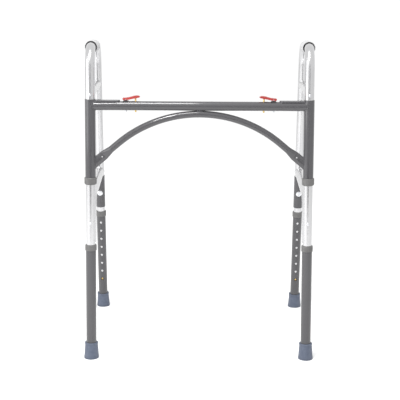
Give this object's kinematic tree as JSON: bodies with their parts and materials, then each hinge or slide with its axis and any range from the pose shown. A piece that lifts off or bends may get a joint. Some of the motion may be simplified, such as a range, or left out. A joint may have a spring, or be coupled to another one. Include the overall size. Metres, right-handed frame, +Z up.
{
  "type": "folding walking frame",
  "caption": "Folding walking frame: bent side frames with grips hinge on a crossbar with a bowed brace, on height-adjustable legs with rubber feet.",
  "frame": {"origin": "on the floor at the middle of the footprint", "axes": "+Z up; -Y is the front of the frame (crossbar side); +X is to the right when the frame is seen from its front, and left and right in the names are as seen from the front"},
  "size_m": [0.6462, 0.485, 0.854],
  "materials": {
    "grey_paint": "dark grey semi-gloss powder coat",
    "anodised": "bright satin anodised",
    "grip": "soft ribbed vinyl",
    "steel": "bright spring steel",
    "rubber": "matt blue-grey rubber",
    "nylon": "warm grey moulded nylon",
    "black_plastic": "black moulded plastic",
    "red_plastic": "glossy red plastic",
    "brass": "brass plated",
    "zinc": "zinc plated"
  },
  "bodies": {
    "front_frame": {"crossbar": "grey_paint", "crossbar_gussets": "grey_paint", "arch_brace": "grey_paint", "block_rivets": "zinc", "upper_hinge_bushes": "nylon", "lever_axles": "steel", "latch_guides": "nylon", "left_hinge_sleeve": "grey_paint", "left_lower_hinge_bush": "nylon", "left_lever_block": "black_plastic", "right_hinge_sleeve": "grey_paint", "right_lower_hinge_bush": "nylon", "right_lever_block": "black_plastic"},
    "left_side_frame": {"left_side_tube": "anodised", "left_upper_rail": "anodised", "left_lower_rail": "anodised", "left_rail_end_plug": "black_plastic", "left_rear_sleeve": "grey_paint", "left_rail_rivets": "zinc", "left_sleeve_bolt": "zinc", "left_grip": "grip", "left_front_button_spring": "steel", "left_rear_button_spring": "steel"},
    "left_lever": {"left_release_lever": "red_plastic"},
    "left_latch": {"left_latch_rod": "steel", "left_latch_pin": "brass"},
    "left_front_leg": {"left_front_extension": "grey_paint", "left_front_collar": "nylon", "left_front_tip": "rubber", "left_front_tip_washer": "steel"},
    "left_front_button": {"left_front_button": "brass"},
    "left_rear_leg": {"left_rear_extension": "grey_paint", "left_rear_collar": "nylon", "left_rear_tip": "rubber", "left_rear_tip_washer": "steel"},
    "left_rear_button": {"left_rear_button": "brass"},
    "right_side_frame": {"right_side_tube": "anodised", "right_upper_rail": "anodised", "right_lower_rail": "anodised", "right_rail_end_plug": "black_plastic", "right_rear_sleeve": "grey_paint", "right_rail_rivets": "zinc", "right_sleeve_bolt": "zinc", "right_grip": "grip", "right_front_button_spring": "steel", "right_rear_button_spring": "steel"},
    "right_lever": {"right_release_lever": "red_plastic"},
    "right_latch": {"right_latch_rod": "steel", "right_latch_pin": "brass"},
    "right_front_leg": {"right_front_extension": "grey_paint", "right_front_collar": "nylon", "right_front_tip": "rubber", "right_front_tip_washer": "steel"},
    "right_front_button": {"right_front_button": "brass"},
    "right_rear_leg": {"right_rear_extension": "grey_paint", "right_rear_collar": "nylon", "right_rear_tip": "rubber", "right_rear_tip_washer": "steel"},
    "right_rear_button": {"right_rear_button": "brass"}
  },
  "joints": [
    {"name": "left_fold", "type": "hinge", "parent": "front_frame", "child": "left_side_frame", "pos_m": [-0.28435, -0.2225, 0.6], "axis": [-0.0136, 0, -0.9999], "range_deg": [0, 81]},
    {"name": "left_lever_press", "type": "hinge", "parent": "front_frame", "child": "left_lever", "pos_m": [-0.1907, -0.224, 0.7073], "axis": [0, 1, 0], "range_deg": [0, 8]},
    {"name": "left_latch_slide", "type": "slide", "parent": "front_frame", "child": "left_latch", "axis": [-1, 0, 0], "range_m": [0, 0.008]},
    {"name": "left_front_height", "type": "slide", "parent": "left_side_frame", "child": "left_front_leg", "axis": [-0.0136, 0, -0.9999], "range_m": [0, 0.189]},
    {"name": "left_front_button_out", "type": "slide", "parent": "left_side_frame", "child": "left_front_button", "axis": [0, 1, 0], "range_m": [0, 0.0042], "stiffness_N_per_m": 300},
    {"name": "left_rear_height", "type": "slide", "parent": "left_side_frame", "child": "left_rear_leg", "axis": [-0.006, 0.1436, -0.9896], "range_m": [0, 0.189]},
    {"name": "left_rear_button_out", "type": "slide", "parent": "left_side_frame", "child": "left_rear_button", "axis": [-0.0009, -0.9896, -0.1436], "range_m": [0, 0.0042], "stiffness_N_per_m": 300},
    {"name": "right_fold", "type": "hinge", "parent": "front_frame", "child": "right_side_frame", "pos_m": [0.28435, -0.2225, 0.6], "axis": [-0.0136, 0, 0.9999], "range_deg": [0, 62]},
    {"name": "right_lever_press", "type": "hinge", "parent": "front_frame", "child": "right_lever", "pos_m": [0.1907, -0.224, 0.7073], "axis": [0, -1, 0], "range_deg": [0, 8]},
    {"name": "right_latch_slide", "type": "slide", "parent": "front_frame", "child": "right_latch", "axis": [1, 0, 0], "range_m": [0, 0.008]},
    {"name": "right_front_height", "type": "slide", "parent": "right_side_frame", "child": "right_front_leg", "axis": [0.0136, 0, -0.9999], "range_m": [0, 0.189]},
    {"name": "right_front_button_out", "type": "slide", "parent": "right_side_frame", "child": "right_front_button", "axis": [0, 1, 0], "range_m": [0, 0.0042], "stiffness_N_per_m": 300},
    {"name": "right_rear_height", "type": "slide", "parent": "right_side_frame", "child": "right_rear_leg", "axis": [0.006, 0.1436, -0.9896], "range_m": [0, 0.189]},
    {"name": "right_rear_button_out", "type": "slide", "parent": "right_side_frame", "child": "right_rear_button", "axis": [0.0009, -0.9896, -0.1436], "range_m": [0, 0.0042], "stiffness_N_per_m": 300}
  ],
  "couplings": [
    {"joint": "left_lever_press", "follows": "left_latch_slide", "rad_per_m": 17.453},
    {"joint": "right_lever_press", "follows": "right_latch_slide", "rad_per_m": 17.453}
  ]
}
